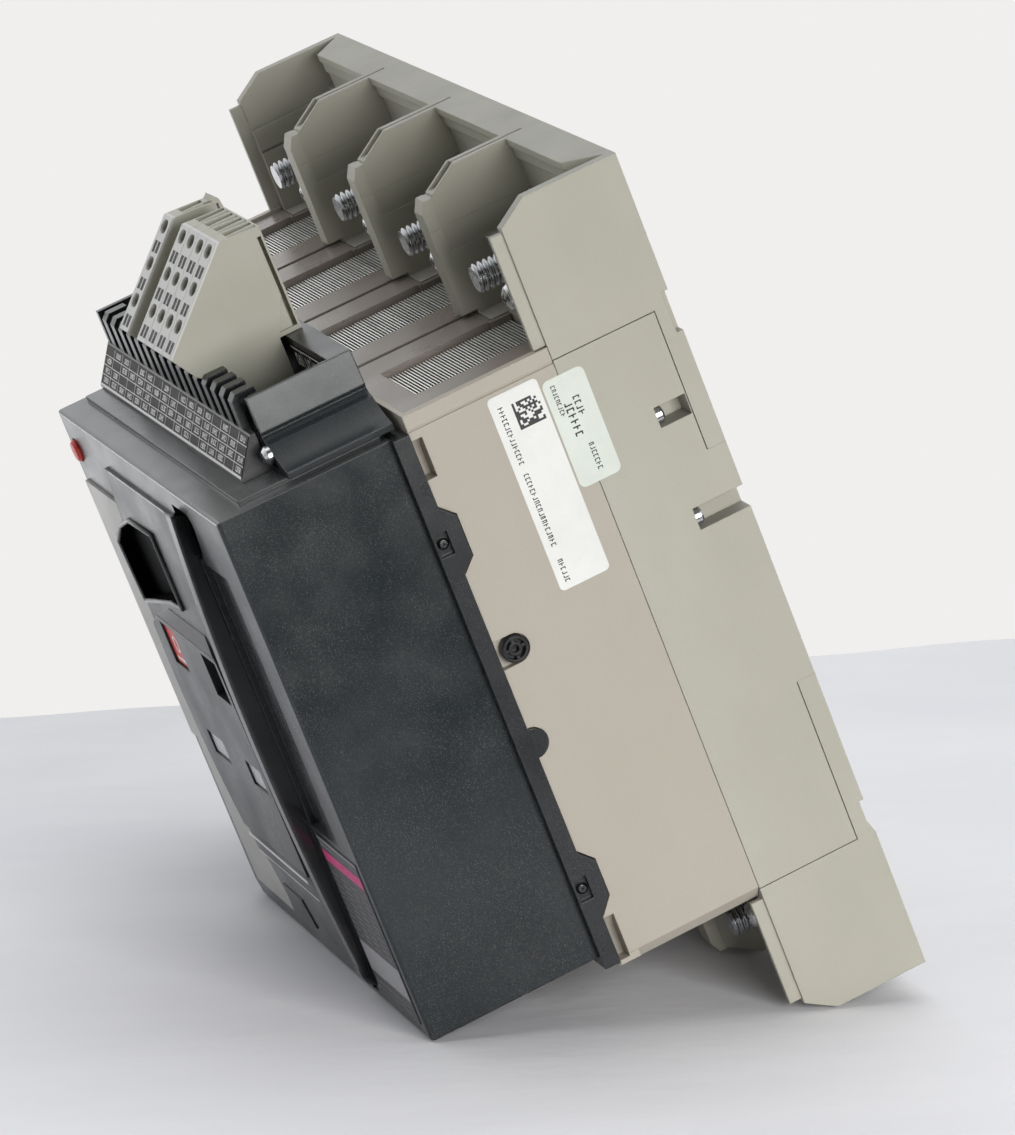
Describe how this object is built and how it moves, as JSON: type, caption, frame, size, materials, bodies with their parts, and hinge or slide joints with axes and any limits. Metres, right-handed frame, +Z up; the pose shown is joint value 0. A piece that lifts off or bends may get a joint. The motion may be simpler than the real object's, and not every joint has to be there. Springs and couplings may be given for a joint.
{
  "type": "low voltage air circuit breaker",
  "caption": "Fixed low voltage power circuit breaker with four poles, terminal bays above and below, push buttons and a charging lever.",
  "frame": {"origin": "centre of the flat rear mounting face", "axes": "+Z up, +X to the right seen from the front, front faces -Y, rear mounting face looks along +Y"},
  "size_m": [0.2812, 0.1654, 0.3006],
  "materials": {
    "base_plastic": "moulded, greenish grey",
    "case_plastic": "moulded, warm beige",
    "chute_plastic": "moulded, grey brown",
    "cover_plastic": "moulded, fine texture, slate",
    "panel_plastic": "moulded, mid grey",
    "dark_plastic": "moulded, near black",
    "label_plastic": "printed, pale grey",
    "module_plastic": "moulded, pale grey",
    "button_red": "moulded, red",
    "flag_green": "moulded, green",
    "window": "clear",
    "screw_steel": "zinc plated",
    "plate_steel": "rolled sheet",
    "spring_steel": "drawn wire",
    "terminal_metal": "silver plated bar",
    "copper": "bare"
  },
  "bodies": {
    "housing": {"rear_base": "base_plastic", "upper_terminal_shield": "base_plastic", "lower_terminal_shield": "base_plastic", "pole_case": "case_plastic", "base_side_screws": "screw_steel", "key_boss": "dark_plastic", "terminal_studs": "screw_steel", "terminal_screws": "screw_steel", "current_transformers": "dark_plastic", "mounting_frame": "dark_plastic", "cross_head_screws": "screw_steel", "front_cover": "cover_plastic", "button_panel": "panel_plastic", "control_unit_cover": "label_plastic", "lower_unit_cover": "panel_plastic", "control_unit": "panel_plastic", "indicator_windows": "window", "rating_label": "label_plastic", "side_labels": "label_plastic", "mechanism_frame": "plate_steel", "closing_spring": "spring_steel", "terminal_tray": "dark_plastic", "tray_bracket": "cover_plastic", "tray_labels": "label_plastic", "arc_chute_frame_1": "chute_plastic", "splitter_plates_1": "plate_steel", "upper_terminal_1": "terminal_metal", "lower_terminal_1": "terminal_metal", "arc_chute_frame_2": "chute_plastic", "splitter_plates_2": "plate_steel", "upper_terminal_2": "terminal_metal", "lower_terminal_2": "terminal_metal", "arc_chute_frame_3": "chute_plastic", "splitter_plates_3": "plate_steel", "upper_terminal_3": "terminal_metal", "lower_terminal_3": "terminal_metal", "arc_chute_frame_4": "chute_plastic", "splitter_plates_4": "plate_steel", "upper_terminal_4": "terminal_metal", "lower_terminal_4": "terminal_metal", "terminal_module_1": "module_plastic", "terminal_module_2": "module_plastic", "terminal_module_3": "module_plastic", "terminal_module_4": "module_plastic", "terminal_module_5": "module_plastic"},
    "handle": {"charging_handle": "dark_plastic"},
    "charger": {"charging_shaft": "plate_steel"},
    "charge_drum": {"charge_flag": "label_plastic"},
    "main_shaft": {"pole_shaft": "dark_plastic"},
    "position_drum": {"position_flag": "flag_green"},
    "off_key": {"off_button": "button_red"},
    "off_latch": {"opening_latch": "plate_steel"},
    "on_key": {"on_button": "dark_plastic"},
    "on_latch": {"closing_latch": "plate_steel"},
    "reset_key": {"reset_button": "button_red"},
    "lock_tab": {"padlock_tab": "panel_plastic"},
    "contact_1": {"moving_contact_1": "copper"},
    "contact_2": {"moving_contact_2": "copper"},
    "contact_3": {"moving_contact_3": "copper"},
    "contact_4": {"moving_contact_4": "copper"}
  },
  "joints": [
    {"name": "handle_swing", "type": "hinge", "parent": "housing", "child": "handle", "pos_m": [0.0837, -0.155, -0.082], "axis": [1, 0, 0], "range_deg": [0, 80], "stiffness_Nm_per_rad": 0.05, "springref_deg": -20.05},
    {"name": "charging_shaft_turn", "type": "hinge", "parent": "housing", "child": "charger", "pos_m": [0.044, -0.125, 0.005], "axis": [1, 0, 0], "range_deg": [0, 80], "deforming": ["closing_spring"]},
    {"name": "charge_flag_turn", "type": "hinge", "parent": "housing", "child": "charge_drum", "pos_m": [0.0425, -0.1486, -0.0225], "axis": [1, 0, 0], "range_deg": [0, 60]},
    {"name": "pole_shaft_turn", "type": "hinge", "parent": "housing", "child": "main_shaft", "pos_m": [0, -0.082, -0.035], "axis": [-1, 0, 0], "range_deg": [0, 45], "stiffness_Nm_per_rad": 2, "springref_deg": -17.19},
    {"name": "moving_contact_1_swing", "type": "hinge", "parent": "housing", "child": "contact_1", "pos_m": [-0.105, -0.045, -0.024], "axis": [-1, 0, 0], "range_deg": [0, 20]},
    {"name": "moving_contact_2_swing", "type": "hinge", "parent": "housing", "child": "contact_2", "pos_m": [-0.035, -0.045, -0.024], "axis": [-1, 0, 0], "range_deg": [0, 20]},
    {"name": "moving_contact_3_swing", "type": "hinge", "parent": "housing", "child": "contact_3", "pos_m": [0.035, -0.045, -0.024], "axis": [-1, 0, 0], "range_deg": [0, 20]},
    {"name": "moving_contact_4_swing", "type": "hinge", "parent": "housing", "child": "contact_4", "pos_m": [0.105, -0.045, -0.024], "axis": [-1, 0, 0], "range_deg": [0, 20]},
    {"name": "position_flag_turn", "type": "hinge", "parent": "housing", "child": "position_drum", "pos_m": [-0.00015, -0.1486, -0.0225], "axis": [1, 0, 0], "range_deg": [0, 60]},
    {"name": "off_button_press", "type": "slide", "parent": "housing", "child": "off_key", "axis": [0, 1, 0], "range_m": [0, 0.004], "stiffness_N_per_m": 400, "springref_m": -0.002},
    {"name": "opening_latch_turn", "type": "hinge", "parent": "housing", "child": "off_latch", "pos_m": [-0.0027, -0.1414, 0.0287], "axis": [1, 0, 0], "range_deg": [0, 15.2]},
    {"name": "on_button_press", "type": "slide", "parent": "housing", "child": "on_key", "axis": [0, 1, 0], "range_m": [0, 0.004], "stiffness_N_per_m": 400, "springref_m": -0.002},
    {"name": "closing_latch_turn", "type": "hinge", "parent": "housing", "child": "on_latch", "pos_m": [0.0455, -0.1414, 0.0287], "axis": [1, 0, 0], "range_deg": [0, 15.2]},
    {"name": "reset_button_press", "type": "slide", "parent": "housing", "child": "reset_key", "axis": [0, 1, 0], "range_m": [0, 0.002], "stiffness_N_per_m": 300, "springref_m": -0.002},
    {"name": "padlock_tab_slide", "type": "slide", "parent": "housing", "child": "lock_tab", "axis": [0, -1, 0], "range_m": [0, 0.008]}
  ],
  "couplings": [
    {"joint": "charging_shaft_turn", "follows": "handle_swing", "ratio": 1},
    {"joint": "charge_flag_turn", "follows": "handle_swing", "ratio": 0.75},
    {"joint": "moving_contact_1_swing", "follows": "pole_shaft_turn", "ratio": 0.4444},
    {"joint": "moving_contact_2_swing", "follows": "pole_shaft_turn", "ratio": 0.4444},
    {"joint": "moving_contact_3_swing", "follows": "pole_shaft_turn", "ratio": 0.4444},
    {"joint": "moving_contact_4_swing", "follows": "pole_shaft_turn", "ratio": 0.4444},
    {"joint": "position_flag_turn", "follows": "pole_shaft_turn", "ratio": 1.3333},
    {"joint": "opening_latch_turn", "follows": "off_button_press", "rad_per_m": 66},
    {"joint": "closing_latch_turn", "follows": "on_button_press", "rad_per_m": 66}
  ]
}
